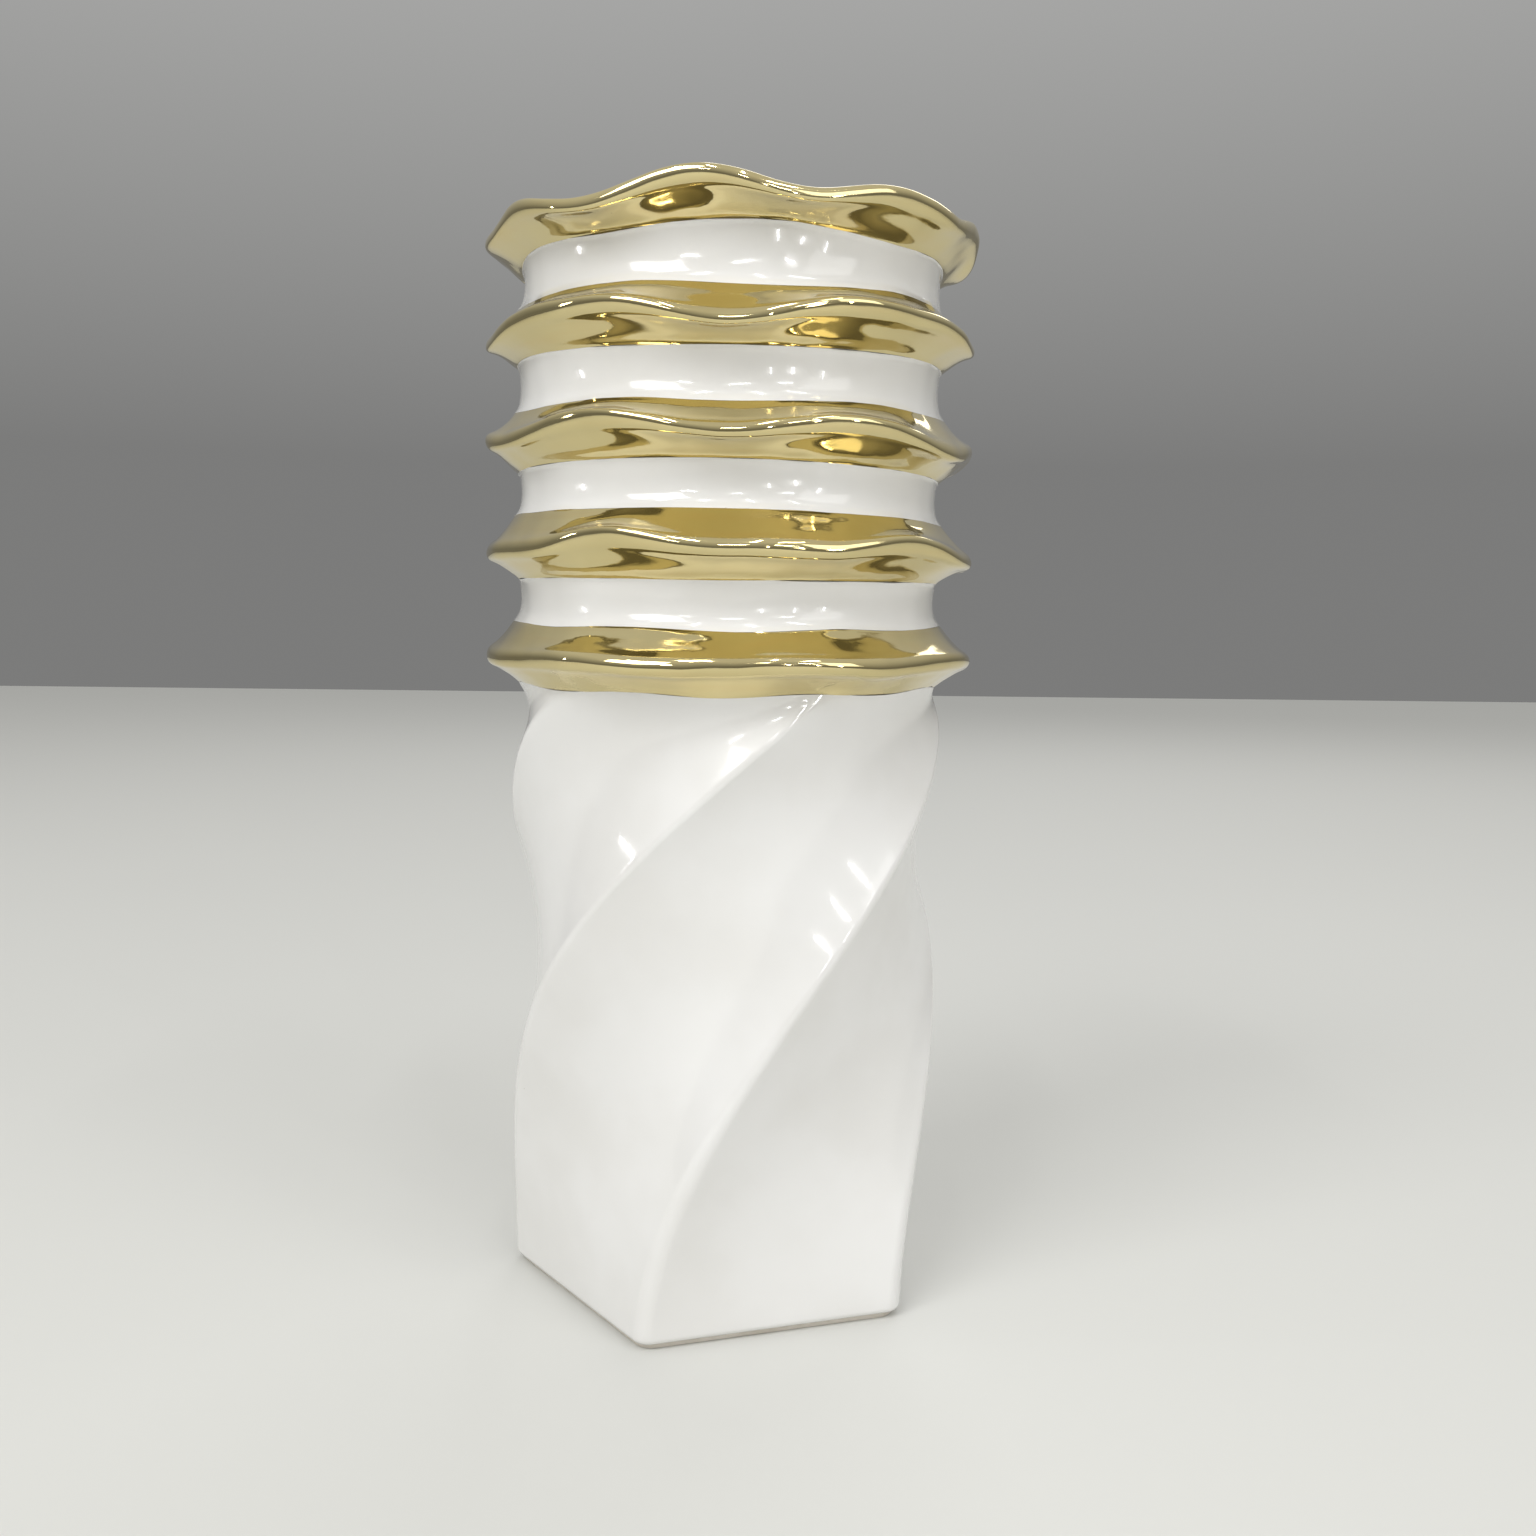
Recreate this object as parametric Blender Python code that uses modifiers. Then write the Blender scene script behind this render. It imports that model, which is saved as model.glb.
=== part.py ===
"""Hollow porcelain vase: a twisted five-sided column under a round neck with five gold ruffles.

Metres, +Z up, standing on Z = 0 with the axis on the origin. Angles are measured round the
axis from the front (-Y) towards the right (+X).
"""

import math

import bmesh
import bpy

# Overall sizes
COLUMN_HEIGHT = 0.1970        # from the table to the lowest gold edge
RIDGE_DISTANCE = 0.0700       # from the axis to a ridge at the bottom
NECK_RADIUS = 0.0668          # outside of the white bands, half way between two ruffles

# Round neck
NECK_WALL = 0.0046            # thickness of the cast wall
SEAM_GAP = 0.0003             # clearance between neighbouring pieces
ROUND_STEPS = 50              # segments round the neck, a multiple of the column's sides

# Ruffles, counted from the mouth down
TOP_PITCH = 0.0310            # from the mouth's lip to the next one
RUFFLE_PITCH = 0.0330         # from each of the other lips to the next one
RUFFLE_REACH = 0.0120         # how far a lip stands out from the neck
LIP_HALF = 0.0021             # half the thickness of the rounded lip
LOWER_ROOT = 0.0086           # lip centre down to the gold edge below it
UPPER_ROOT = 0.0104           # lip centre up to the gold edge above it
LOWER_FLARE = 0.0010          # how far the wall has flared at the gold edge below a lip
UPPER_FLARE = 0.0025          # the same at the gold edge above a lip
FACE_HOLLOW = 0.0002          # how far each face of a ruffle is hollowed
FACE_SHARES = (0.30, 0.55, 0.80)  # points along a face, from its gold edge to its lip

# Height of each lip, with the lowest gold edge on top of the column
LOWEST_LIP = COLUMN_HEIGHT + LOWER_ROOT
RUFFLE_LEVELS = (LOWEST_LIP + 3 * RUFFLE_PITCH + TOP_PITCH,) + tuple(
    LOWEST_LIP + step * RUFFLE_PITCH for step in (3, 2, 1, 0)
)

# Waves of each lip, from the mouth down: (crests round the rim, millimetres, angle of a crest)
LIP_WAVES = (
    ((8, 2.2, -9), (5, 1.2, 65), (1, 1.2, 80)),
    ((5, 2.8, -38), (9, 0.8, -20), (2, 1.2, 90)),
    ((6, 2.5, -32), (1, 1.5, -60)),
    ((5, 2.0, -28), (10, 0.8, 8), (1, 1.2, -40)),
    ((7, 0.6, -40), (2, 0.7, 90)),
)
LIP_SWING = 0.8               # millimetres a lip swings outward, a quarter wave after its crests
LEFT_SHORT = 1.6              # millimetres that the lips stand out less on the left

# Waves of the gold edge under each ruffle; a wave of no crests is a plain rise
LOWER_EDGES = (
    ((1, 1.5, 10), (5, 0.8, 5)),
    ((2, 1.3, 90),),
    ((1, 0.8, -50),),
    ((2, 0.5, 90),),
    ((8, 0.5, 20), (2, 0.6, 90)),
)

# Waves of the gold edge above each ruffle but the first, which is the mouth
UPPER_EDGES = (
    ((0, -2.5, 0), (2, 0.8, 90), (5, 0.8, -28)),
    ((0, -1.5, 0), (2, 0.8, 90), (6, 0.5, -30)),
    ((1, 0.8, -60),),
    ((2, 0.8, 90), (7, 0.4, 26)),
)

# The top band is a little narrower on its left
PINCH = 1.5                   # millimetres
PINCH_BELOW = 0.6             # share of the pinch left at the foot of that band

# Twisted column
COLUMN_SIDES = 5
RIDGE_RADIUS = 0.0060         # rounding of each twisted ridge
BASE_LEVEL = 0.0017           # underside of the glazed column
FLOOR_THICKNESS = 0.0052
BASE_EDGE = 0.0022            # rounding round the bottom edge
SHOULDER_RISE = 0.0190        # height over which the flat sides flare into the round neck
OUTER_STEPS = 27              # levels from the bottom to the neck
INNER_STEPS = 14
RIDGE_STEPS = 4               # segments round one ridge
START_TURN = -20              # degrees from the front to the nearest ridge, at the table
TWIST = 116                   # degrees that the column turns up to the neck
TWIST_GAIN = 1.75             # above 1, the column turns faster the higher it gets
SIDE_SWELL = 0.0056           # how far the sides swell outward, once they do
SWELL_START = 0.25            # shares of the column's height between which the swell grows
SWELL_END = 0.70

# Where the flat sides begin to flare; the flare is complete just under the lowest gold edge
SHOULDER_START = COLUMN_HEIGHT - SEAM_GAP - SHOULDER_RISE

# Foot
FOOT_DEPTH = 0.0014           # height of the bare foot rim
FOOT_INSET = 0.0028           # foot rim's outer edge, in from the column
FOOT_WIDTH = 0.0062


def clear_scene():
    for obj in list(bpy.data.objects):
        bpy.data.objects.remove(obj, do_unlink=True)


def material(name, colour, roughness, metallic):
    made = bpy.data.materials.new(name)
    made.use_nodes = True
    shader = made.node_tree.nodes["Principled BSDF"]
    shader.inputs["Base Color"].default_value = (*colour, 1.0)
    shader.inputs["Roughness"].default_value = roughness
    shader.inputs["Metallic"].default_value = metallic
    return made


def ease(t):
    t = min(max(t, 0.0), 1.0)
    return t * t * (3 - 2 * t)


def turn_at(z):
    """Turn of the front ridge at height z, in radians."""
    share = min(max(z / COLUMN_HEIGHT, 0.0), 1.0)
    return math.radians(START_TURN + TWIST * share**TWIST_GAIN)


def swell_at(z):
    """How far the middle of a side swells outward at height z."""
    return SIDE_SWELL * ease((z / COLUMN_HEIGHT - SWELL_START) / (SWELL_END - SWELL_START))


def wave_at(waves, phi):
    """Rise of a sum of (crests, millimetres, angle of a crest) waves, in metres."""
    return sum(
        0.001 * size * math.cos(crests * (phi - math.radians(angle)))
        for crests, size, angle in waves
    )


def leftness(phi):
    """Nothing on the right, 1 on the left."""
    return (1 - math.sin(phi)) / 2


def swing_at(ruffle, phi):
    """Outward swing of a lip, a quarter wave after its main crests, and less on the left."""
    crests, _, angle = LIP_WAVES[ruffle][0]
    swing = LIP_SWING * math.sin(crests * (phi - math.radians(angle)))
    return 0.001 * (swing - LEFT_SHORT * leftness(phi))


def pinch_at(phi):
    """Inward shift of the top band."""
    return -0.001 * PINCH * leftness(phi)


def stations():
    """Heights where the waves are known, from the bottom up: (height, kind, ruffle)."""
    found = [(SHOULDER_START, "still", 0)]
    for ruffle in reversed(range(len(RUFFLE_LEVELS))):
        level = RUFFLE_LEVELS[ruffle]
        found.append((level - LOWER_ROOT, "lower", ruffle))
        found.append((level, "lip", ruffle))
        if ruffle:
            found.append((level + UPPER_ROOT, "upper", ruffle))
    found.append((RUFFLE_LEVELS[0] + 2 * UPPER_ROOT, "lip", 0))
    return found


STATIONS = stations()


def station_shift(kind, ruffle, reach, phi):
    """(outward, upward) shift at one station; reach is 0 inside the wall and 1 at the lip."""
    if kind == "still":
        return 0.0, 0.0
    if kind == "lower":
        return (0.0 if ruffle else pinch_at(phi)), wave_at(LOWER_EDGES[ruffle], phi)
    if kind == "upper":
        pinched = PINCH_BELOW * pinch_at(phi) if ruffle == 1 else 0.0
        return pinched, wave_at(UPPER_EDGES[ruffle - 1], phi)
    root = wave_at(LOWER_EDGES[ruffle], phi)
    up = reach * wave_at(LIP_WAVES[ruffle], phi) + (1 - reach) * 0.5 * root
    return reach * swing_at(ruffle, phi), up


def waved(x, y, z):
    """A point of the turned vase, moved to follow the waves of the ruffles and gold edges."""
    if z <= SHOULDER_START:
        return x, y, z
    radius = math.hypot(x, y)
    phi = math.atan2(x, -y)
    inside = NECK_RADIUS - NECK_WALL
    reach = min(max((radius - inside) / (RUFFLE_REACH + NECK_WALL), 0.0), 1.0)
    for below, above in zip(STATIONS, STATIONS[1:]):
        if z <= above[0]:
            break
    t = ease((z - below[0]) / (above[0] - below[0]))
    low = station_shift(below[1], below[2], reach, phi)
    high = station_shift(above[1], above[2], reach, phi)
    out = low[0] + (high[0] - low[0]) * t
    up = low[1] + (high[1] - low[1]) * t
    scale = (radius + out) / radius
    return x * scale, y * scale, z + up


def wave_mesh(mesh):
    for vertex in mesh.vertices:
        vertex.co = waved(*vertex.co)
    mesh.update()


def add_object(name, mesh, finish, where):
    obj = bpy.data.objects.new(name, mesh)
    where.objects.link(obj)
    mesh.materials.append(finish)
    return obj


def turned(name, profile, finish, where):
    """A closed profile of (radius, height) turned round Z, then waved."""
    mesh = bpy.data.meshes.new(name)
    count = len(profile)
    points = [(radius, 0.0, height) for radius, height in profile]
    edges = [(i, (i + 1) % count) for i in range(count)]
    mesh.from_pydata(points, edges, [])
    obj = add_object(name, mesh, finish, where)
    screw = obj.modifiers.new("Turn", "SCREW")
    screw.axis = "Z"
    screw.steps = ROUND_STEPS
    screw.render_steps = ROUND_STEPS
    screw.use_merge_vertices = True
    screw.merge_threshold = 0.00001
    bpy.context.view_layer.update()
    graph = bpy.context.evaluated_depsgraph_get()
    solid = bpy.data.meshes.new_from_object(obj.evaluated_get(graph))
    obj.modifiers.clear()
    obj.data = solid
    solid.name = name
    wave_mesh(solid)
    solid.polygons.foreach_set("use_smooth", [True] * len(solid.polygons))
    return obj


def face(root, lip):
    """Points along one slightly hollowed face, from its gold edge (root) to its lip."""
    points = []
    for share in FACE_SHARES:
        radius = root[0] + (lip[0] - root[0]) * share - FACE_HOLLOW * math.sin(math.pi * share)
        points.append((radius, root[1] + (lip[1] - root[1]) * share))
    return points


def ruffle_profile(ruffle):
    """Lip and both faces of one ruffle, hollow behind; the top one is the flared mouth."""
    level = RUFFLE_LEVELS[ruffle]
    wall = NECK_RADIUS
    reach = RUFFLE_REACH
    inner = wall - NECK_WALL
    half_gap = SEAM_GAP / 2
    foot = level - LOWER_ROOT + half_gap
    top = level + UPPER_ROOT - half_gap
    lip = [
        (wall + 0.93 * reach, level + LIP_HALF),
        (wall + reach, level),
        (wall + 0.93 * reach, level - LIP_HALF),
    ]
    lower_root = (wall + LOWER_FLARE, foot)
    below = face(lower_root, lip[-1])[::-1] + [lower_root, (inner, foot)]
    if ruffle == 0:
        mouth = [
            (inner, level - 0.86 * LOWER_ROOT),
            (wall - 0.10 * reach, level - 0.42 * LOWER_ROOT),
            (wall + 0.36 * reach, level - 0.02 * LOWER_ROOT),
            (wall + 0.76 * reach, level + LIP_HALF),
        ]
        return mouth + lip + below
    upper_root = (wall + UPPER_FLARE, top)
    above = [upper_root] + face(upper_root, lip[0])
    hollow = [
        (inner + 0.12 * reach, level - 0.60 * LOWER_ROOT),
        (wall + 0.44 * reach, level),
        (inner + 0.17 * reach, level + 0.66 * UPPER_ROOT),
        (inner + 0.08 * reach, top),
    ]
    return above + lip + below + hollow


def band_profile(band):
    """White wall from the gold edge under one ruffle down to the gold edge of the next."""
    wall = NECK_RADIUS
    inner = wall - NECK_WALL
    half_gap = SEAM_GAP / 2
    top = RUFFLE_LEVELS[band] - LOWER_ROOT - half_gap
    foot = RUFFLE_LEVELS[band + 1] + UPPER_ROOT + half_gap
    rise = top - foot
    return [
        (wall + LOWER_FLARE, top),
        (wall + 0.30 * LOWER_FLARE, top - 0.16 * rise),
        (wall, foot + 0.55 * rise),
        (wall + 0.30 * UPPER_FLARE, foot + 0.20 * rise),
        (wall + UPPER_FLARE, foot),
        (inner + 0.08 * RUFFLE_REACH, foot),
        (inner, foot + 0.50 * rise),
        (inner, top),
    ]


def column_section(z, inset):
    """Points round the column at height z, drawn in by inset: (x, y) from the front ridge."""
    turn = turn_at(z)
    side_steps = ROUND_STEPS // COLUMN_SIDES - RIDGE_STEPS
    swell = swell_at(z)
    centre = RIDGE_DISTANCE - RIDGE_RADIUS
    rounding = RIDGE_RADIUS - inset
    half = math.pi / COLUMN_SIDES
    lean = math.atan(4 * swell / (2 * centre * math.sin(half)))
    blend = min(max((z - SHOULDER_START) / SHOULDER_RISE, 0.0), 1.0) ** 2.5
    points = []
    for side in range(COLUMN_SIDES):
        here = turn + 2 * half * side
        there = here + 2 * half
        for step in range(RIDGE_STEPS + 1):
            angle = here + (half - lean) * (2 * step / RIDGE_STEPS - 1)
            x = centre * math.sin(here) + rounding * math.sin(angle)
            y = -centre * math.cos(here) - rounding * math.cos(angle)
            points.append((x, y))
        first = points[-1]
        angle = there - half + lean
        last_x = centre * math.sin(there) + rounding * math.sin(angle)
        last_y = -centre * math.cos(there) - rounding * math.cos(angle)
        for step in range(1, side_steps):
            t = step / side_steps
            bow = swell * 4 * t * (1 - t)
            x = first[0] + (last_x - first[0]) * t + bow * math.sin(here + half)
            y = first[1] + (last_y - first[1]) * t - bow * math.cos(here + half)
            points.append((x, y))
    spacing = 2 * math.pi / ROUND_STEPS
    top_turn = turn_at(COLUMN_HEIGHT)
    settled = math.pi / 2 + spacing * round((top_turn - math.pi / 2) / spacing)
    front = turn + (settled - turn) * blend**3
    rounded = []
    for i, (x, y) in enumerate(points):
        radius = math.hypot(x, y)
        angle = math.atan2(x, -y)
        wanted = front + (i - RIDGE_STEPS / 2) * spacing
        drift = (wanted - angle + math.pi) % (2 * math.pi) - math.pi
        angle += drift * blend
        radius += (NECK_RADIUS + LOWER_FLARE * blend - inset - radius) * blend
        rounded.append((radius * math.sin(angle), -radius * math.cos(angle)))
    return rounded


def loft(name, rings, finish, where):
    """A closed skin through rings of equal count, capped at both ends, then waved."""
    mesh = bmesh.new()
    rows = [[mesh.verts.new(point) for point in ring] for ring in rings]
    count = len(rows[0])
    for low, high in zip(rows, rows[1:]):
        for i in range(count):
            j = (i + 1) % count
            mesh.faces.new((low[i], low[j], high[j], high[i]))
    mesh.faces.new(list(reversed(rows[0])))
    mesh.faces.new(rows[-1])
    bmesh.ops.recalc_face_normals(mesh, faces=mesh.faces)
    solid = bpy.data.meshes.new(name)
    mesh.to_mesh(solid)
    mesh.free()
    wave_mesh(solid)
    solid.polygons.foreach_set("use_smooth", [True] * len(solid.polygons))
    return add_object(name, solid, finish, where)


def ring_at(z, inset):
    return [(x, y, z) for x, y in column_section(z, inset)]


def twisted_column(finish, where):
    """Column open at the top and closed by a floor at the bottom."""
    top = COLUMN_HEIGHT - SEAM_GAP / 2
    start = BASE_LEVEL + BASE_EDGE
    rings = []
    for degrees in (0, 30, 60):
        angle = math.radians(degrees)
        inset = BASE_EDGE * (1 - math.sin(angle))
        rings.append(ring_at(start - BASE_EDGE * math.cos(angle), inset))
    for step in range(OUTER_STEPS + 1):
        rings.append(ring_at(start + (top - start) * step / OUTER_STEPS, 0.0))
    floor = BASE_LEVEL + FLOOR_THICKNESS
    for step in reversed(range(INNER_STEPS + 1)):
        rings.append(ring_at(floor + (top - floor) * step / INNER_STEPS, NECK_WALL))
    return loft("twisted_body", rings, finish, where)


def foot_rim(finish, where):
    """Bare rim that the vase stands on, in the shape of the column's bottom."""
    outer = column_section(0.0, 0.0)
    count = len(outer)
    scales = (1 - FOOT_INSET / RIDGE_DISTANCE, 1 - (FOOT_INSET + FOOT_WIDTH) / RIDGE_DISTANCE)
    mesh = bmesh.new()
    loops = []
    for scale, z in ((scales[0], 0.0), (scales[0], FOOT_DEPTH), (scales[1], FOOT_DEPTH),
                     (scales[1], 0.0)):
        loops.append([mesh.verts.new((x * scale, y * scale, z)) for x, y in outer])
    for first, second in zip(loops, loops[1:] + loops[:1]):
        for i in range(count):
            j = (i + 1) % count
            mesh.faces.new((first[i], first[j], second[j], second[i]))
    bmesh.ops.recalc_face_normals(mesh, faces=mesh.faces)
    solid = bpy.data.meshes.new("foot_rim")
    mesh.to_mesh(solid)
    mesh.free()
    return add_object("foot_rim", solid, finish, where)


def build():
    clear_scene()
    vase = bpy.data.collections.new("porcelain_vase")
    bpy.context.scene.collection.children.link(vase)
    white = material("white_glaze", (0.80, 0.79, 0.77), 0.15, 0.0)
    gold = material("gold_lustre", (0.83, 0.62, 0.25), 0.10, 0.0)
    bare = material("unglazed_foot", (0.70, 0.66, 0.60), 0.75, 0.0)
    foot_rim(bare, vase)
    twisted_column(white, vase)
    for ruffle in range(len(RUFFLE_LEVELS)):
        turned(f"gold_ruffle_{ruffle + 1}", ruffle_profile(ruffle), gold, vase)
    for band in range(len(RUFFLE_LEVELS) - 1):
        turned(f"white_band_{band + 1}", band_profile(band), white, vase)


build()
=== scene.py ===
"""Looks of the porcelain vase: a twisted white column under a neck with five gilt ruffles.

Every piece is a fine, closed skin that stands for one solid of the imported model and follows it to
about a millimetre, or two inside the shoulder. Metres, +Z up, the axis on the origin; angles run
round the axis from the front (-Y) towards the right (+X).
"""

import math

import bpy
import numpy as np
from mathutils import Matrix, Vector


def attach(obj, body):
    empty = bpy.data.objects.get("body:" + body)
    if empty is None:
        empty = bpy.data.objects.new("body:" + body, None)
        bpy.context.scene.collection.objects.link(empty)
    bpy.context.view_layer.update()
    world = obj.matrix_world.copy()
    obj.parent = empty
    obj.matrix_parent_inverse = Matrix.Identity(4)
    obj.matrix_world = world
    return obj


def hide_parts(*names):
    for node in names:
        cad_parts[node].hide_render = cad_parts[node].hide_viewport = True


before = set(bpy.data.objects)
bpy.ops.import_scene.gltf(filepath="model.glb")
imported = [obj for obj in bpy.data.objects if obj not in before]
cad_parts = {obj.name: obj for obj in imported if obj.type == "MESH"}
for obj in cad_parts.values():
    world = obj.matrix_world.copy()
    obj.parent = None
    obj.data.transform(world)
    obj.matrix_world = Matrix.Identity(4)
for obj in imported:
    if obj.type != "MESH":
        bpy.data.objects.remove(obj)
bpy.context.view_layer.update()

# ---------------------------------------------------------------- the vase's own sizes, metres

MM = 0.001
TURN = 2 * math.pi

COLUMN_HEIGHT = 0.1970        # from the table to the lowest gold edge
RIDGE_DISTANCE = 0.0700       # from the axis to a ridge
NECK_RADIUS = 0.0668
NECK_WALL = 0.0046
SEAM_GAP = 0.3 * MM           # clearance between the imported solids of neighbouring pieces
HAIR = 0.01 * MM              # half the hair line left between two pieces here

TOP_PITCH = 0.0310            # from the mouth's lip to the next one
RUFFLE_PITCH = 0.0330         # from each of the other lips to the next one
RUFFLE_REACH = 0.0120
LIP_HALF = 0.0021
LIP_ROUND = 0.93              # share of the reach at which the rounding of a lip begins
LOWER_ROOT = 0.0086
UPPER_ROOT = 0.0104
LOWER_FLARE = 0.0010
UPPER_FLARE = 0.0025
FACE_HOLLOW = 0.0008          # hollow of each face of a ruffle, deeper than in the solids
FACE_SHARES = (0.30, 0.55, 0.80)  # points along a face, from its gold edge to its lip

# Height of each lip, with the lowest gold edge on top of the column
LOWEST_LIP = COLUMN_HEIGHT + LOWER_ROOT
RUFFLE_LEVELS = (LOWEST_LIP + 3 * RUFFLE_PITCH + TOP_PITCH,) + tuple(
    LOWEST_LIP + step * RUFFLE_PITCH for step in (3, 2, 1, 0)
)

COLUMN_SIDES = 5
RIDGE_RADIUS = 0.0060
BASE_LEVEL = 0.0017
FLOOR_THICKNESS = 0.0052
BASE_EDGE = 0.0022
SHOULDER_RISE = 0.0190
SHOULDER_START = COLUMN_HEIGHT - SEAM_GAP - SHOULDER_RISE
START_TURN = -20              # degrees from the front to the nearest ridge, at the table
TWIST = 116                   # degrees that the column turns up to the neck
TWIST_GAIN = 1.75             # above 1, the column turns faster the higher it gets
SIDE_SWELL = 0.0056           # how far the sides swell outward, once they do
SWELL_START = 0.25            # shares of the column's height between which the swell grows
SWELL_END = 0.70

FOOT_INSET = 0.0028
FOOT_WIDTH = 0.0062
FOOT_EDGE = 0.0005            # rounding of the bare rim

# Waves of each lip, from the mouth down: (crests round the rim, millimetres, angle of a crest)
LIP_WAVES = (
    ((8, 2.2, -9), (5, 1.2, 65), (1, 1.2, 80)),
    ((5, 2.8, -38), (9, 0.8, -20), (2, 1.2, 90)),
    ((6, 2.5, -32), (1, 1.5, -60)),
    ((5, 2.0, -28), (10, 0.8, 8), (1, 1.2, -40)),
    ((7, 0.6, -40), (2, 0.7, 90)),
)
LIP_SWING = 0.8               # millimetres a lip swings outward, a quarter wave after its crests
LEFT_SHORT = 1.6              # millimetres that the lips stand out less on the left

# Waves of the gold edge under each ruffle; a wave of no crests is a plain rise
LOWER_EDGES = (
    ((1, 1.5, 10), (5, 0.8, 5)),
    ((2, 1.3, 90),),
    ((1, 0.8, -50),),
    ((2, 0.5, 90),),
    ((8, 0.5, 20), (2, 0.6, 90)),
)

# Waves of the gold edge above each ruffle but the first, which is the mouth
UPPER_EDGES = (
    ((0, -2.5, 0), (2, 0.8, 90), (5, 0.8, -28)),
    ((0, -1.5, 0), (2, 0.8, 90), (6, 0.5, -30)),
    ((1, 0.8, -60),),
    ((2, 0.8, 90), (7, 0.4, 26)),
)

# The top band is a little narrower on its left
PINCH = 1.5                   # millimetres
PINCH_BELOW = 0.6             # share of the pinch left at the foot of that band

# Unevenness left by the potter's hands: (length of a bump, height, seed)
BROAD_RIPPLE = (0.030, 0.15 * MM, 3)
SHORT_RIPPLE = (0.013, 0.06 * MM, 4)
RIPPLE_WAVES = 9

# ---------------------------------------------------------------- fineness of the meshes

RING_STEPS = 600              # segments round a ruffle or a band
COLUMN_STEPS = 400            # segments round the column
LOWER_ROWS = 34               # rows from a gold edge to the lip below which it lies
UPPER_ROWS = 30
BAND_ROWS = 26
HOLLOW_ROWS = 14
COLUMN_ROWS = 150
INSIDE_ROWS = 36
FLOOR_ROWS = 8

WHITE = "white_glaze"
GOLD = "gold_lustre"
BARE = "unglazed_foot"


# ---------------------------------------------------------------- curves

def open_spline(points):
    """A smooth open curve through 2D points: (curve at t, t of each point)."""
    points = np.array(points, float)
    steps = np.linalg.norm(np.diff(points, axis=0), axis=1) ** 0.5
    marks = np.append(0.0, np.cumsum(steps))
    count = len(points)
    slopes = np.diff(points, axis=0) / steps[:, None]
    system = np.zeros((count, count))
    right = np.zeros((count, 2))
    system[0, 0] = system[-1, -1] = 1.0
    for i in range(1, count - 1):
        system[i, i - 1] = steps[i - 1]
        system[i, i] = 2 * (steps[i - 1] + steps[i])
        system[i, i + 1] = steps[i]
        right[i] = 6 * (slopes[i] - slopes[i - 1])
    bends = np.linalg.solve(system, right)

    def at(t):
        t = np.asarray(t, float)
        i = np.clip(np.searchsorted(marks, t, side="right") - 1, 0, count - 2)
        h = steps[i][:, None]
        b = ((t - marks[i]) / steps[i])[:, None]
        a = 1 - b
        bow = ((a**3 - a) * bends[i] + (b**3 - b) * bends[i + 1]) * h * h / 6
        return a * points[i] + b * points[i + 1] + bow

    return at, marks


def evenly(at, start, end, rows):
    """Points of a curve from t = start to t = end, spaced evenly along it: rows + 1 of them."""
    fine = at(np.linspace(start, end, 20 * rows + 1))
    along = np.append(0.0, np.cumsum(np.linalg.norm(np.diff(fine, axis=0), axis=1)))
    wanted = np.linspace(0.0, along[-1], rows + 1)
    return np.stack([np.interp(wanted, along, fine[:, k]) for k in (0, 1)], axis=1)


def smoothstep(t):
    t = np.clip(t, 0.0, 1.0)
    return t * t * (3 - 2 * t)


def turn_at(z):
    """Turn of the front ridge at height z, in radians."""
    share = min(max(z / COLUMN_HEIGHT, 0.0), 1.0)
    return math.radians(START_TURN + TWIST * share**TWIST_GAIN)


def swell_at(z):
    """How far the middle of a side swells outward at height z."""
    grown = (z / COLUMN_HEIGHT - SWELL_START) / (SWELL_END - SWELL_START)
    return SIDE_SWELL * float(smoothstep(grown))


# ---------------------------------------------------------------- waves of the ruffles

def wave_at(waves, phi):
    """Rise of a sum of (crests, millimetres, angle of a crest) waves, in metres."""
    return sum(
        MM * size * np.cos(crests * (phi - math.radians(angle)))
        for crests, size, angle in waves
    )


def leftness(phi):
    """Nothing on the right, 1 on the left."""
    return (1 - np.sin(phi)) / 2


def swing_at(ruffle, phi):
    """Outward swing of a lip, a quarter wave after its main crests, and less on the left."""
    crests, _, angle = LIP_WAVES[ruffle][0]
    swing = LIP_SWING * np.sin(crests * (phi - math.radians(angle)))
    return MM * (swing - LEFT_SHORT * leftness(phi))


def pinch_at(phi):
    """Inward shift of the top band."""
    return -MM * PINCH * leftness(phi)


def stations():
    """Heights where the waves are known, from the bottom up: (height, kind, ruffle)."""
    found = [(SHOULDER_START, "still", 0)]
    for ruffle in reversed(range(len(RUFFLE_LEVELS))):
        level = RUFFLE_LEVELS[ruffle]
        found.append((level - LOWER_ROOT, "lower", ruffle))
        found.append((level, "lip", ruffle))
        if ruffle:
            found.append((level + UPPER_ROOT, "upper", ruffle))
    found.append((RUFFLE_LEVELS[0] + 2 * UPPER_ROOT, "lip", 0))
    return found


def station_shift(kind, ruffle, reach, phi):
    """(outward, upward) shift at one station; reach is 0 inside the wall and 1 at the lip."""
    if kind == "still":
        return np.zeros_like(phi), np.zeros_like(phi)
    if kind == "lower":
        return (0.0 if ruffle else 1.0) * pinch_at(phi), wave_at(LOWER_EDGES[ruffle], phi)
    if kind == "upper":
        pinched = (PINCH_BELOW if ruffle == 1 else 0.0) * pinch_at(phi)
        return pinched, wave_at(UPPER_EDGES[ruffle - 1], phi)
    root = wave_at(LOWER_EDGES[ruffle], phi)
    up = reach * wave_at(LIP_WAVES[ruffle], phi) + (1 - reach) * 0.5 * root
    return reach * swing_at(ruffle, phi), up


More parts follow.
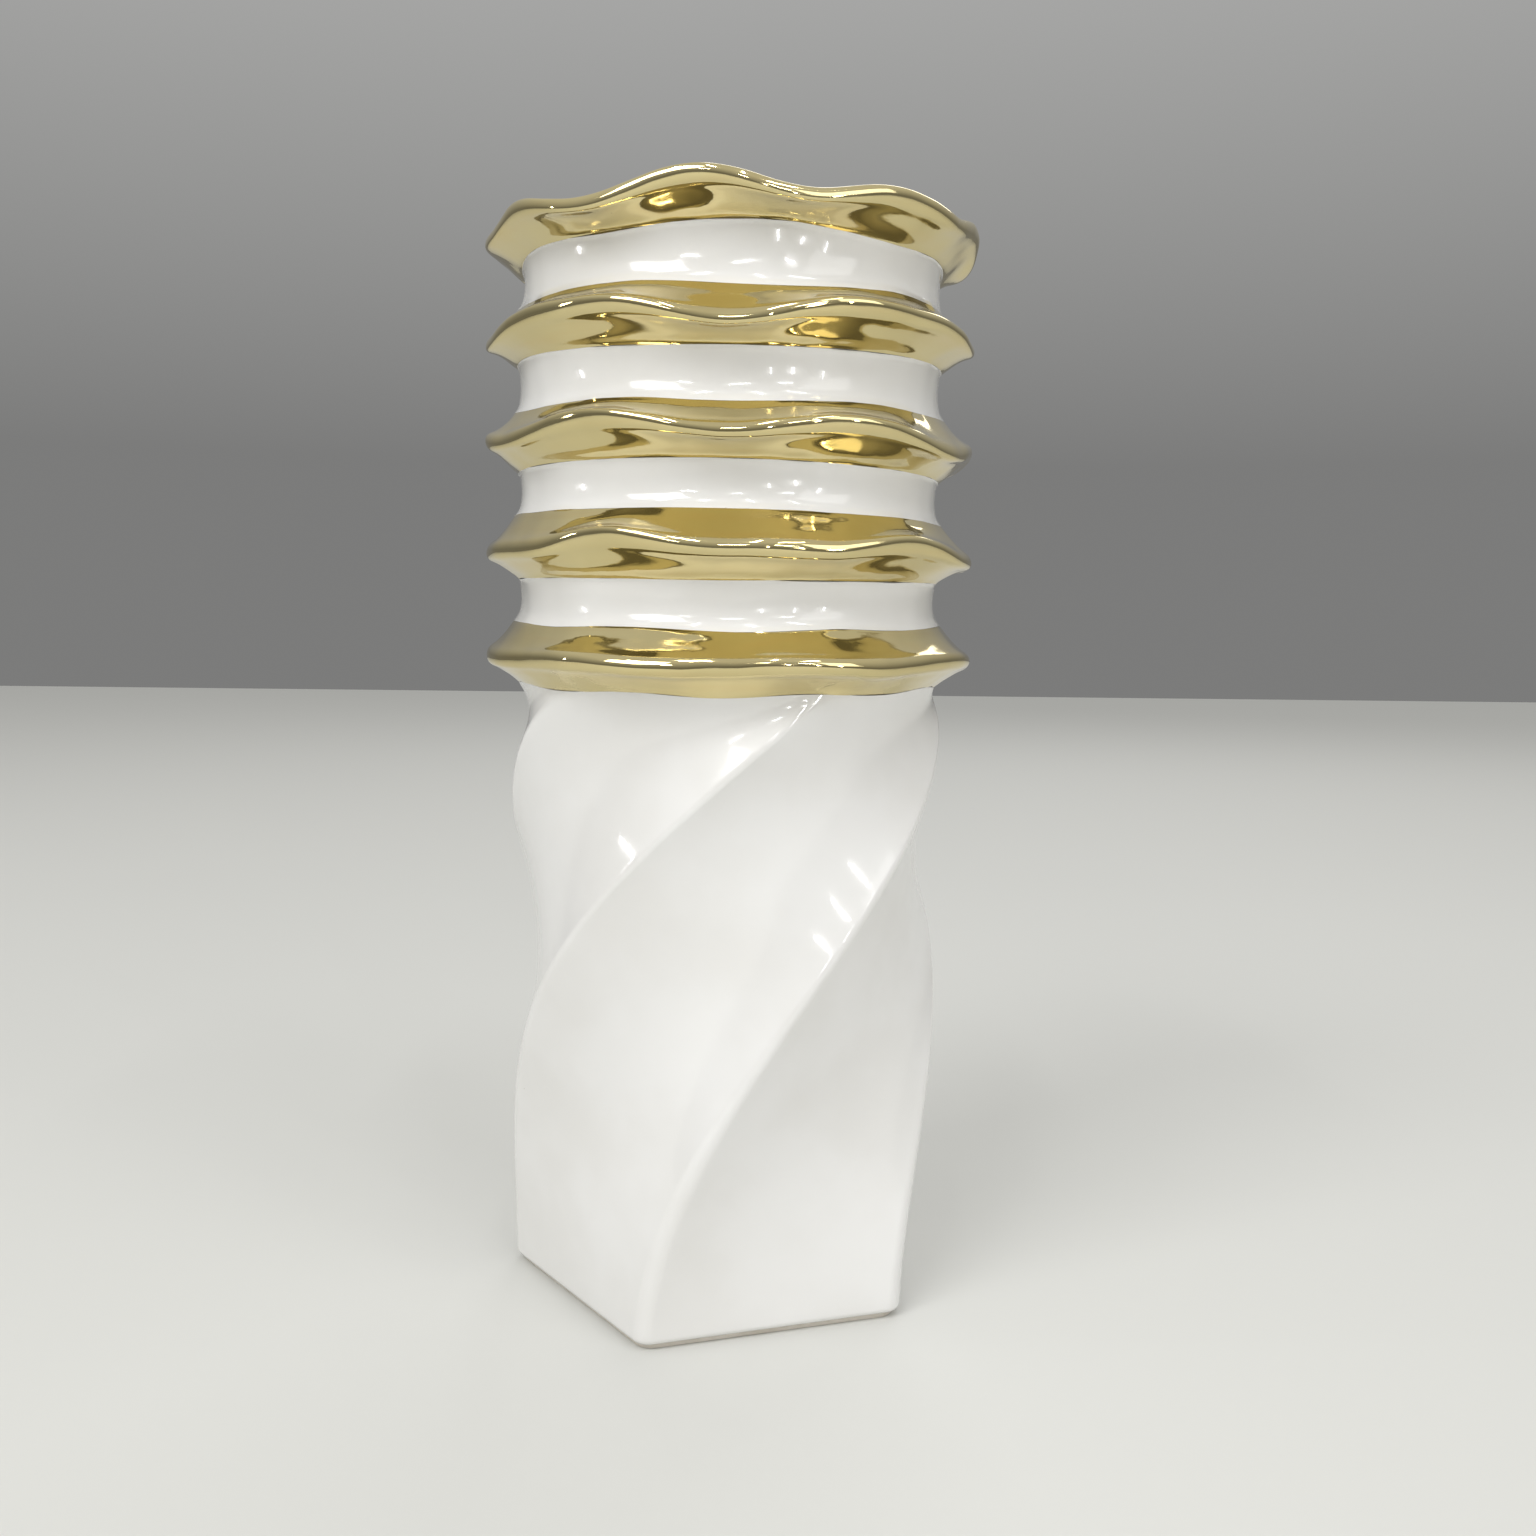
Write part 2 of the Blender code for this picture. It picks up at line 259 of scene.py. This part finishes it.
def waved(points):
    """Points of the turned vase, moved to follow the waves of the ruffles and gold edges."""
    x, y, z = points.reshape(-1, 3).T
    radius = np.maximum(np.hypot(x, y), 1e-9)
    phi = np.arctan2(x, -y)
    reach = np.clip((radius - NECK_RADIUS + NECK_WALL) / (RUFFLE_REACH + NECK_WALL), 0.0, 1.0)
    out = np.zeros_like(z)
    up = np.zeros_like(z)
    known = stations()
    for below, above in zip(known, known[1:]):
        here = (z > below[0]) & (z <= above[0])
        t = smoothstep((z[here] - below[0]) / (above[0] - below[0]))
        low = station_shift(below[1], below[2], reach[here], phi[here])
        high = station_shift(above[1], above[2], reach[here], phi[here])
        out[here] = low[0] + (high[0] - low[0]) * t
        up[here] = low[1] + (high[1] - low[1]) * t
    scale = (radius + out) / radius
    return np.stack([x * scale, y * scale, z + up], axis=1).reshape(points.shape)


# ---------------------------------------------------------------- hand-made unevenness

def ripple(points, length, height, seed):
    """A smooth random field: about height high, with bumps about length apart."""
    random = np.random.default_rng(seed)
    total = np.zeros(points.shape[:-1])
    for _ in range(RIPPLE_WAVES):
        way = random.normal(size=3)
        way *= TURN / (length * random.uniform(0.7, 1.5) * np.linalg.norm(way))
        total += np.sin(points @ way + random.uniform(0, TURN))
    return total * height / math.sqrt(RIPPLE_WAVES)


def skin_normals(grid):
    """Unit normals of a grid of points (rows up a profile, columns round the axis)."""
    round_way = np.roll(grid, -1, axis=1) - np.roll(grid, 1, axis=1)
    up_way = np.gradient(grid, axis=0)
    normal = np.cross(round_way, up_way)
    size = np.linalg.norm(normal, axis=2, keepdims=True)
    return normal / np.maximum(size, 1e-12)


# ---------------------------------------------------------------- meshes

def skin(name, grid, materials, row_material, closed, strips):
    """A closed mesh over grid[row, column]; an open profile is closed by a point at each end."""
    rows, columns, _ = grid.shape
    points = grid.reshape(-1, 3)
    band_rows = rows if closed else rows - 1
    r, c = np.meshgrid(np.arange(band_rows), np.arange(columns), indexing="ij")
    r2 = (r + 1) % rows
    c2 = (c + 1) % columns
    quads = np.stack([r * columns + c, r * columns + c2, r2 * columns + c2, r2 * columns + c],
                     axis=-1).reshape(-1, 4)
    faces = quads.tolist()
    face_rows = r.reshape(-1).tolist()
    vertices = points
    if not closed:
        first = grid[0].mean(axis=0)
        last = grid[-1].mean(axis=0)
        vertices = np.vstack([points, first, last])
        bottom = len(points)
        top = bottom + 1
        end = (rows - 1) * columns
        for i in range(columns):
            j = (i + 1) % columns
            faces.append((bottom, j, i))
            face_rows.append(0)
        for i in range(columns):
            j = (i + 1) % columns
            faces.append((end + i, end + j, top))
            face_rows.append(band_rows - 1)
    mesh = bpy.data.meshes.new(name)
    mesh.from_pydata(vertices.tolist(), [], faces)
    for item in materials:
        mesh.materials.append(item)
    mesh.polygons.foreach_set("material_index", [row_material[row] for row in face_rows])
    mesh.polygons.foreach_set("use_smooth", [True] * len(faces))
    map_skin(mesh, rows, columns, band_rows, closed, strips)
    mesh.update()
    mesh.set_sharp_from_angle(angle=math.radians(40))
    obj = bpy.data.objects.new(name, mesh)
    bpy.context.scene.collection.objects.link(obj)
    return obj


def map_skin(mesh, rows, columns, band_rows, closed, strips):
    """A flat layout of the skin: strips side by side, each a stretch of the way round."""
    layer = mesh.uv_layers.new(name="OFBake")
    margin = 0.004
    per_strip = columns // strips
    width = 1.0 / per_strip
    r, c = np.meshgrid(np.arange(band_rows), np.arange(columns), indexing="ij")
    strip = c // per_strip
    across = (c % per_strip) * width
    up = r / band_rows
    step = 1.0 / band_rows
    corners = []
    for du, dv in ((0, 0), (1, 0), (1, 1), (0, 1)):
        u = (across + du * width) * (1 - 2 * margin) + margin
        v = (strip + (up + dv * step) * (1 - 2 * margin * strips) + margin * strips) / strips
        corners.append(np.stack([u, v], axis=-1))
    places = np.stack(corners, axis=2).reshape(-1, 2)
    if not closed:
        caps = []
        for at_top in (False, True):
            for i in range(columns):
                strip = i // per_strip
                left = (i % per_strip) * width * (1 - 2 * margin) + margin
                right = left + width * (1 - 2 * margin)
                edge = (strip + (1 - margin * strips if at_top else margin * strips)) / strips
                tip = edge + (0.4 if at_top else -0.4) * margin
                middle = (left + right) / 2
                if at_top:
                    caps += [(left, edge), (right, edge), (middle, tip)]
                else:
                    caps += [(middle, tip), (right, edge), (left, edge)]
        places = np.vstack([places, np.array(caps)])
    layer.uv.foreach_set("vector", places.astype(np.float32).ravel())


def turned_grid(profile):
    """A (radius, height) profile turned round the axis: grid[row, column]."""
    phi = np.arange(RING_STEPS) * TURN / RING_STEPS
    radius = profile[:, 0][:, None]
    height = profile[:, 1][:, None] + 0 * phi[None, :]
    return np.stack([radius * np.sin(phi), -radius * np.cos(phi), height], axis=-1)


def place(piece, node):
    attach(piece, "root")
    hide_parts(node)
    return piece


# ---------------------------------------------------------------- the neck's outline

def face(root, lip):
    """Points along one slightly hollowed face, from its gold edge (root) to its lip."""
    points = []
    for share in FACE_SHARES:
        radius = root[0] + (lip[0] - root[0]) * share - FACE_HOLLOW * math.sin(math.pi * share)
        points.append((radius, root[1] + (lip[1] - root[1]) * share))
    return points


def rounded_lip(level):
    """The lip itself, from its lower face to its upper one."""
    near = NECK_RADIUS + LIP_ROUND * RUFFLE_REACH
    return [(near, level - LIP_HALF), (NECK_RADIUS + RUFFLE_REACH, level), (near, level + LIP_HALF)]


def mouth_inside(level):
    wall = NECK_RADIUS
    reach = RUFFLE_REACH
    inner = wall - NECK_WALL
    return [
        (wall + 0.76 * reach, level + LIP_HALF),
        (wall + 0.36 * reach, level - 0.02 * LOWER_ROOT),
        (wall - 0.10 * reach, level - 0.42 * LOWER_ROOT),
        (inner, level - 0.86 * LOWER_ROOT),
        (inner, level - LOWER_ROOT),
    ]


def neck_outline():
    """One smooth outline from the shoulder to inside the mouth, and where each edge is on it."""
    wall = NECK_RADIUS
    points = []
    edges = {}
    for ruffle in reversed(range(len(RUFFLE_LEVELS))):
        level = RUFFLE_LEVELS[ruffle]
        foot = level - LOWER_ROOT
        if ruffle < len(RUFFLE_LEVELS) - 1:
            start = RUFFLE_LEVELS[ruffle + 1] + UPPER_ROOT
            rise = foot - start
            points.append((wall + 0.30 * UPPER_FLARE, start + 0.20 * rise))
            points.append((wall, start + 0.55 * rise))
            points.append((wall + 0.30 * LOWER_FLARE, foot - 0.16 * rise))
        edges["lower", ruffle] = len(points)
        lower_root = (wall + LOWER_FLARE, foot)
        upper_root = (wall + UPPER_FLARE, level + UPPER_ROOT)
        lip = rounded_lip(level)
        points.append(lower_root)
        points += face(lower_root, lip[0]) + lip
        if ruffle:
            points += face(upper_root, lip[-1])[::-1]
            edges["upper", ruffle] = len(points)
            points.append(upper_root)
    points += mouth_inside(RUFFLE_LEVELS[0])
    edges["mouth", 0] = len(points) - 1
    at, marks = open_spline(points)
    return at, {edge: marks[i] for edge, i in edges.items()}


outline, outline_edges = neck_outline()


def shifted(profile):
    """A profile with its ends pulled in by a hair, so that neighbours don't share a face."""
    low = profile[:, 1].min()
    high = profile[:, 1].max()
    pulled = profile.copy()
    pulled[:, 1] = np.clip(profile[:, 1], low + HAIR, high - HAIR)
    return pulled


def uneven(grid, outside_rows):
    """The grid with a potter's slight unevenness on its outside, along its normals."""
    rows = np.arange(len(grid))[:, None]
    field = ripple(grid, *BROAD_RIPPLE) + ripple(grid, *SHORT_RIPPLE)
    return grid + skin_normals(grid) * (field * (rows < outside_rows))[..., None]


def ruffle_grid(ruffle):
    """(grid, rows of the outside) of one ruffle: the outside, then the hollow behind it."""
    level = RUFFLE_LEVELS[ruffle]
    wall = NECK_RADIUS
    inner = wall - NECK_WALL
    reach = RUFFLE_REACH
    start = outline_edges["lower", ruffle]
    if ruffle == 0:
        outside = evenly(outline, start, outline_edges["mouth", 0], LOWER_ROWS + 2 * UPPER_ROWS)
        across = np.linspace(outside[-1], outside[0], 5)[1:-1]
        profile = np.vstack([outside, across])
    else:
        outside = evenly(outline, start, outline_edges["upper", ruffle], LOWER_ROWS + UPPER_ROWS)
        hollow, marks = open_spline([
            (inner + 0.08 * reach, level + UPPER_ROOT),
            (inner + 0.17 * reach, level + 0.66 * UPPER_ROOT),
            (wall + 0.44 * reach, level),
            (inner + 0.12 * reach, level - 0.60 * LOWER_ROOT),
            (inner, level - LOWER_ROOT),
        ])
        behind = evenly(hollow, 0.0, marks[-1], HOLLOW_ROWS)
        top = np.linspace(outside[-1], behind[0], 4)[1:-1]
        foot = np.linspace(behind[-1], outside[0], 4)[1:-1]
        profile = np.vstack([outside, top, behind, foot])
    return waved(turned_grid(shifted(profile))), len(outside)


def band_grid(band):
    """(grid, rows of the outside) of one white band: the outside, then the inside."""
    inner = NECK_RADIUS - NECK_WALL
    top = RUFFLE_LEVELS[band] - LOWER_ROOT
    foot = RUFFLE_LEVELS[band + 1] + UPPER_ROOT
    outside = evenly(outline, outline_edges["upper", band + 1], outline_edges["lower", band],
                     BAND_ROWS)
    back, marks = open_spline([
        (inner, top),
        (inner, foot + 0.50 * (top - foot)),
        (inner + 0.08 * RUFFLE_REACH, foot),
    ])
    behind = evenly(back, 0.0, marks[-1], HOLLOW_ROWS)
    over = np.linspace(outside[-1], behind[0], 4)[1:-1]
    under = np.linspace(behind[-1], outside[0], 4)[1:-1]
    profile = np.vstack([outside, over, behind, under])
    return waved(turned_grid(shifted(profile))), len(outside)


# ---------------------------------------------------------------- the twisted column

def column_section(z, inset):
    """Points round the column at height z, drawn in by inset: an array of (x, y)."""
    turn = turn_at(z)
    ridge_steps = COLUMN_STEPS // COLUMN_SIDES * 3 // 10
    side_steps = COLUMN_STEPS // COLUMN_SIDES - ridge_steps
    swell = swell_at(z)
    centre = RIDGE_DISTANCE - RIDGE_RADIUS
    rounding = RIDGE_RADIUS - inset
    half = math.pi / COLUMN_SIDES
    lean = math.atan(4 * swell / (2 * centre * math.sin(half)))
    points = []
    for side in range(COLUMN_SIDES):
        here = turn + 2 * half * side
        there = here + 2 * half
        angle = here + (half - lean) * np.linspace(-1, 1, ridge_steps + 1)
        x = centre * math.sin(here) + rounding * np.sin(angle)
        y = -centre * math.cos(here) - rounding * np.cos(angle)
        points.append(np.stack([x, y], axis=1))
        first = points[-1][-1]
        angle = there - half + lean
        last = np.array([centre * math.sin(there) + rounding * math.sin(angle),
                         -centre * math.cos(there) - rounding * math.cos(angle)])
        t = np.linspace(0, 1, side_steps + 1)[1:-1][:, None]
        bow = swell * 4 * t * (1 - t)
        out = np.array([math.sin(here + half), -math.cos(here + half)])
        points.append(first + (last - first) * t + bow * out)
    ring = np.vstack(points)
    blend = min(max((z - SHOULDER_START) / SHOULDER_RISE, 0.0), 1.0) ** 2.5
    radius = np.hypot(ring[:, 0], ring[:, 1])
    rounded = radius + (NECK_RADIUS + LOWER_FLARE * blend - inset - radius) * blend
    return ring * (rounded / radius)[:, None]


def column_ring(z, inset, scale=1.0):
    section = column_section(z, inset) * scale
    return np.column_stack([section, np.full(len(section), z)])


def column_grid():
    """The column from under its floor, up the outside, over the rim and down to its floor."""
    top = COLUMN_HEIGHT - HAIR
    start = BASE_LEVEL + BASE_EDGE
    floor = BASE_LEVEL + FLOOR_THICKNESS
    rings = []
    for step in range(1, FLOOR_ROWS):
        rings.append(column_ring(BASE_LEVEL, BASE_EDGE, step / FLOOR_ROWS))
    for degrees in range(0, 90, 10):
        angle = math.radians(degrees)
        inset = BASE_EDGE * (1 - math.sin(angle))
        ring = column_ring(start, inset)
        ring[:, 2] = start - BASE_EDGE * math.cos(angle)
        rings.append(ring)
    for z in np.linspace(start, top, COLUMN_ROWS + 1):
        rings.append(column_ring(z, 0.0))
    for step in (1, 2):
        rings.append(column_ring(top, NECK_WALL * step / 3))
    for z in np.linspace(top, floor, INSIDE_ROWS + 1):
        rings.append(column_ring(z, NECK_WALL))
    for step in reversed(range(1, FLOOR_ROWS)):
        rings.append(column_ring(floor, NECK_WALL, step / FLOOR_ROWS))
    return waved(np.array(rings))


def foot_grid():
    """Bare rim under the column, with its lower edges rounded."""
    outer = column_section(0.0, 0.0)
    high = BASE_LEVEL - HAIR
    wide = RIDGE_DISTANCE - FOOT_INSET
    narrow = wide - FOOT_WIDTH
    corner = [math.radians(degrees) for degrees in range(0, 91, 15)]
    profile = []
    for angle in reversed(corner):
        inward = FOOT_EDGE * (1 - math.sin(angle))
        profile.append((narrow + inward, FOOT_EDGE * (1 - math.cos(angle))))
    for angle in corner:
        inward = FOOT_EDGE * (1 - math.sin(angle))
        profile.append((wide - inward, FOOT_EDGE * (1 - math.cos(angle))))
    profile += [(wide, high), (narrow + FOOT_WIDTH / 2, high), (narrow, high)]
    rings = []
    for radius, z in profile:
        section = outer * (radius / RIDGE_DISTANCE)
        rings.append(np.column_stack([section, np.full(len(section), z)]))
    return np.array(rings)


# ---------------------------------------------------------------- materials

class Nodes:
    """A short way to write a node material."""

    def __init__(self, name):
        self.material = bpy.data.materials.new(name)
        self.material.use_nodes = True
        self.tree = self.material.node_tree
        self.shader = self.tree.nodes["Principled BSDF"]

    def node(self, kind, **settings):
        made = self.tree.nodes.new(kind)
        for key, value in settings.items():
            setattr(made, key, value)
        return made

    def link(self, source, target):
        self.tree.links.new(source, target)

    def position(self):
        return self.node("ShaderNodeTexCoord").outputs["Object"]

    def stretched(self, scale):
        mapping = self.node("ShaderNodeMapping")
        mapping.inputs["Scale"].default_value = scale
        self.link(self.position(), mapping.inputs["Vector"])
        return mapping.outputs["Vector"]

    def noise(self, scale, detail=2.0, rough=0.5, vector=None):
        made = self.node("ShaderNodeTexNoise")
        made.inputs["Scale"].default_value = scale
        made.inputs["Detail"].default_value = detail
        made.inputs["Roughness"].default_value = rough
        self.link(vector or self.position(), made.inputs["Vector"])
        return made.outputs["Fac"]

    def spread(self, value, low, high, out_low=0.0, out_high=1.0):
        made = self.node("ShaderNodeMapRange", interpolation_type="SMOOTHSTEP")
        made.inputs["From Min"].default_value = low
        made.inputs["From Max"].default_value = high
        made.inputs["To Min"].default_value = out_low
        made.inputs["To Max"].default_value = out_high
        self.link(value, made.inputs["Value"])
        return made.outputs["Result"]

    def times(self, first, second):
        made = self.node("ShaderNodeMath", operation="MULTIPLY")
        for socket, value in zip(made.inputs, (first, second)):
            if isinstance(value, (int, float)):
                socket.default_value = value
            else:
                self.link(value, socket)
        return made.outputs["Value"]

    def mix(self, share, first, second):
        made = self.node("ShaderNodeMix", data_type="RGBA")
        self.link(share, made.inputs["Factor"])
        slots = [s for s in made.inputs if s.type == "RGBA"]
        for socket, value in zip(slots, (first, second)):
            if isinstance(value, tuple):
                socket.default_value = (*value, 1.0)
            else:
                self.link(value, socket)
        return [s for s in made.outputs if s.type == "RGBA"][0]

    def bump(self, height, distance, under=None):
        made = self.node("ShaderNodeBump")
        made.inputs["Distance"].default_value = distance
        self.link(height, made.inputs["Height"])
        if under:
            self.link(under, made.inputs["Normal"])
        return made.outputs["Normal"]

    def set(self, name, value):
        socket = self.shader.inputs[name]
        if isinstance(value, tuple):
            socket.default_value = (*value, 1.0)
        elif isinstance(value, (int, float)):
            socket.default_value = value
        else:
            self.link(value, socket)


def specks(made, scale, size, share):
    """Round marks a few per palm: 1 in each mark and 0 elsewhere."""
    cells = made.node("ShaderNodeTexVoronoi")
    cells.inputs["Scale"].default_value = scale
    made.link(made.position(), cells.inputs["Vector"])
    near = made.spread(cells.outputs["Distance"], size, 0.4 * size)
    parts = made.node("ShaderNodeSeparateColor")
    made.link(cells.outputs["Color"], parts.inputs["Color"])
    chosen = made.spread(parts.outputs["Red"], 1.0 - share, 1.0 - share + 0.02)
    return made.times(near, chosen)


def white_glaze():
    made = Nodes(WHITE)
    cloud = made.spread(made.noise(22.0, 3.0), 0.35, 0.65)
    tint = made.mix(cloud, (0.795, 0.785, 0.762), (0.835, 0.828, 0.812))
    marks = specks(made, 95.0, 0.030, 0.10)
    tint = made.mix(marks, tint, (0.44, 0.40, 0.34))
    made.set("Base Color", tint)
    made.set("Roughness", made.spread(made.noise(40.0, 2.0), 0.3, 0.7, 0.10, 0.17))
    made.set("IOR", 1.52)
    made.set("Coat Weight", 0.6)
    made.set("Coat Roughness", 0.03)
    made.set("Coat IOR", 1.5)
    slow = made.bump(made.noise(48.0, 1.0), 0.00025)
    fine = made.bump(made.noise(420.0, 2.0), 0.000012, under=slow)
    pits = made.times(specks(made, 140.0, 0.036, 0.16), -1.0)
    made.set("Normal", made.bump(pits, 0.00006, under=fine))
    return made.material


def gold_lustre():
    made = Nodes(GOLD)
    cloud = made.spread(made.noise(34.0, 3.0), 0.3, 0.7)
    tint = made.mix(cloud, (0.68, 0.578, 0.298), (0.72, 0.618, 0.332))
    strokes = made.noise(1.0, 3.0, 0.6, made.stretched((26.0, 26.0, 420.0)))
    tint = made.mix(made.spread(strokes, 0.42, 0.75, 0.0, 0.30), tint, (0.70, 0.540, 0.260))
    marks = specks(made, 120.0, 0.028, 0.10)
    tint = made.mix(marks, tint, (0.16, 0.10, 0.035))
    made.set("Base Color", tint)
    made.set("Metallic", 1.0)
    made.set("Roughness", made.spread(made.noise(60.0, 3.0), 0.3, 0.75, 0.045, 0.11))
    slow = made.bump(made.noise(75.0, 1.5), 0.00024)
    fine = made.bump(made.noise(520.0, 2.0), 0.000008, under=slow)
    made.set("Normal", made.bump(strokes, 0.000010, under=fine))
    return made.material


def unglazed_foot():
    made = Nodes(BARE)
    grain = made.noise(900.0, 4.0, 0.7)
    cloud = made.noise(60.0, 3.0)
    tint = made.mix(made.spread(cloud, 0.3, 0.7), (0.62, 0.57, 0.49), (0.72, 0.67, 0.60))
    tint = made.mix(made.spread(grain, 0.58, 0.72, 0.0, 0.5), tint, (0.42, 0.36, 0.29))
    made.set("Base Color", tint)
    made.set("Roughness", made.spread(cloud, 0.3, 0.7, 0.72, 0.88))
    made.set("Normal", made.bump(grain, 0.00012))
    return made.material


# ---------------------------------------------------------------- build the vase

white = white_glaze()
gold = gold_lustre()
bare = unglazed_foot()

for ruffle in range(len(RUFFLE_LEVELS)):
    grid, outside_rows = ruffle_grid(ruffle)
    grid = uneven(grid, outside_rows)
    inside = 0 if ruffle == 0 else 1  # the mouth is gilt inside too
    coats = [0 if row < outside_rows - 1 else inside for row in range(len(grid))]
    piece = skin(f"ruffle_{ruffle + 1}", grid, (gold, white), coats, True, 3)
    place(piece, f"gold_ruffle_{ruffle + 1}")

for band in range(len(RUFFLE_LEVELS) - 1):
    grid, outside_rows = band_grid(band)
    grid = uneven(grid, outside_rows)
    piece = skin(f"band_{band + 1}", grid, (white,), [0] * len(grid), True, 3)
    place(piece, f"white_band_{band + 1}")

grid = column_grid()
body = skin("column", grid, (white,), [0] * len(grid), False, 1)
place(body, "twisted_body")

grid = foot_grid()
foot = skin("foot", grid, (bare,), [0] * len(grid), True, 4)
place(foot, "foot_rim")


# ---------------------------------------------------------------- floor, light and camera

FLOOR_REACH = 4.0
FLOOR_TINT = (0.66, 0.66, 0.63)


def stage_floor():
    made = Nodes("floor_board")
    made.set("Base Color", FLOOR_TINT)
    made.set("Roughness", 0.55)
    mesh = bpy.data.meshes.new("floor")
    far = FLOOR_REACH
    mesh.from_pydata([(-far, -far, 0), (far, -far, 0), (far, far, 0), (-far, far, 0)], [],
                     [(0, 1, 2, 3)])
    mesh.materials.append(made.material)
    floor = bpy.data.objects.new("floor", mesh)
    bpy.context.scene.collection.objects.link(floor)


def soft_light(name, place_at, look_at, wide, high, power):
    lamp = bpy.data.lights.new(name, "AREA")
    lamp.shape = "RECTANGLE"
    lamp.size = wide
    lamp.size_y = high
    lamp.energy = power
    obj = bpy.data.objects.new(name, lamp)
    obj.location = place_at
    way = Vector(look_at) - Vector(place_at)
    obj.rotation_euler = way.to_track_quat("-Z", "Y").to_euler()
    bpy.context.scene.collection.objects.link(obj)


# Greys of the surroundings: (sine of the angle above the horizon, grey)
SKY_LOW = (0.10, (0.20, 0.20, 0.197, 1))
SKY_HIGH = (0.75, (0.64, 0.64, 0.63, 1))

# Large soft lamps: (name, place, width, height, watts)
SOFT_LAMPS = (
    ("key", (-1.5, -1.6, 2.0), 1.4, 1.0, 28),
    ("fill", (1.7, -1.2, 1.3), 1.0, 1.0, 5),
    ("back", (0.6, 1.9, 1.8), 1.4, 0.8, 9),
)
VASE_MIDDLE = (0.0, 0.0, 0.2)

# Ceiling tubes, side by side across the room in front of the vase
TUBES_ACROSS = (-1.2, -0.4, 0.4, 1.2)
TUBES_FORWARD = 1.3
TUBES_HIGH = 2.3
TUBE = (0.06, 0.9, 5)         # width, length, watts

# Small bright panes, in front of the vase and out of sight, for crisp marks on the glaze
WIDE_WINDOWS = ((-0.9, -2.2, 1.35), (0.2, -2.4, 1.5), (1.2, -2.0, 1.3))
WIDE_PANE = (0.34, 0.05, 2.2)  # width, height, watts
TALL_WINDOWS = (-85, 20, 35, 50)  # degrees from the front
TALL_WINDOWS_AWAY = 2.35
TALL_WINDOWS_HIGH = 0.7
TALL_PANE = (0.05, 0.28, 1.4)


def studio():
    world = bpy.data.worlds.new("studio")
    bpy.context.scene.world = world
    world.use_nodes = True
    tree = world.node_tree
    back = tree.nodes["Background"]
    where = tree.nodes.new("ShaderNodeTexCoord")
    parts = tree.nodes.new("ShaderNodeSeparateXYZ")
    tree.links.new(where.outputs["Generated"], parts.inputs["Vector"])
    ramp = tree.nodes.new("ShaderNodeValToRGB")
    tree.links.new(parts.outputs["Z"], ramp.inputs["Fac"])
    for stop, (position, grey) in zip(ramp.color_ramp.elements, (SKY_LOW, SKY_HIGH)):
        stop.position = position
        stop.color = grey
    tree.links.new(ramp.outputs["Color"], back.inputs["Color"])
    back.inputs["Strength"].default_value = 1.0
    for name, place_at, *size_and_power in SOFT_LAMPS:
        soft_light(name, place_at, VASE_MIDDLE, *size_and_power)
    for i, x in enumerate(TUBES_ACROSS):
        above = (x, -TUBES_FORWARD, TUBES_HIGH)
        soft_light(f"tube_{i + 1}", above, (x, -TUBES_FORWARD, 0.0), *TUBE)
    for i, place_at in enumerate(WIDE_WINDOWS):
        soft_light(f"wide_window_{i + 1}", place_at, VASE_MIDDLE, *WIDE_PANE)
    for i, degrees in enumerate(TALL_WINDOWS):
        x = TALL_WINDOWS_AWAY * math.sin(math.radians(degrees))
        y = -TALL_WINDOWS_AWAY * math.cos(math.radians(degrees))
        place_at = (x, y, TALL_WINDOWS_HIGH)
        soft_light(f"tall_window_{i + 1}", place_at, VASE_MIDDLE, *TALL_PANE)


CAMERA_PLACE = (0.0, -0.495, 0.218)
CAMERA_LENS = 35.1
CAMERA_YAW = -1.6
CAMERA_TILT = 90 - 5.6
CAMERA_ROLL = 0.7


def camera():
    data = bpy.data.cameras.new("camera")
    data.sensor_fit = "HORIZONTAL"
    data.sensor_width = 36.0
    data.lens = CAMERA_LENS
    data.clip_start = 0.01
    data.clip_end = 50.0
    obj = bpy.data.objects.new("camera", data)
    bpy.context.scene.collection.objects.link(obj)
    yaw = Matrix.Rotation(math.radians(CAMERA_YAW), 4, "Z")
    tilt = Matrix.Rotation(math.radians(CAMERA_TILT), 4, "X")
    roll = Matrix.Rotation(math.radians(CAMERA_ROLL), 4, "Z")
    obj.matrix_world = Matrix.Translation(CAMERA_PLACE) @ yaw @ tilt @ roll
    bpy.context.scene.camera = obj


stage_floor()
studio()
camera()
bpy.context.scene.view_settings.view_transform = "Standard"
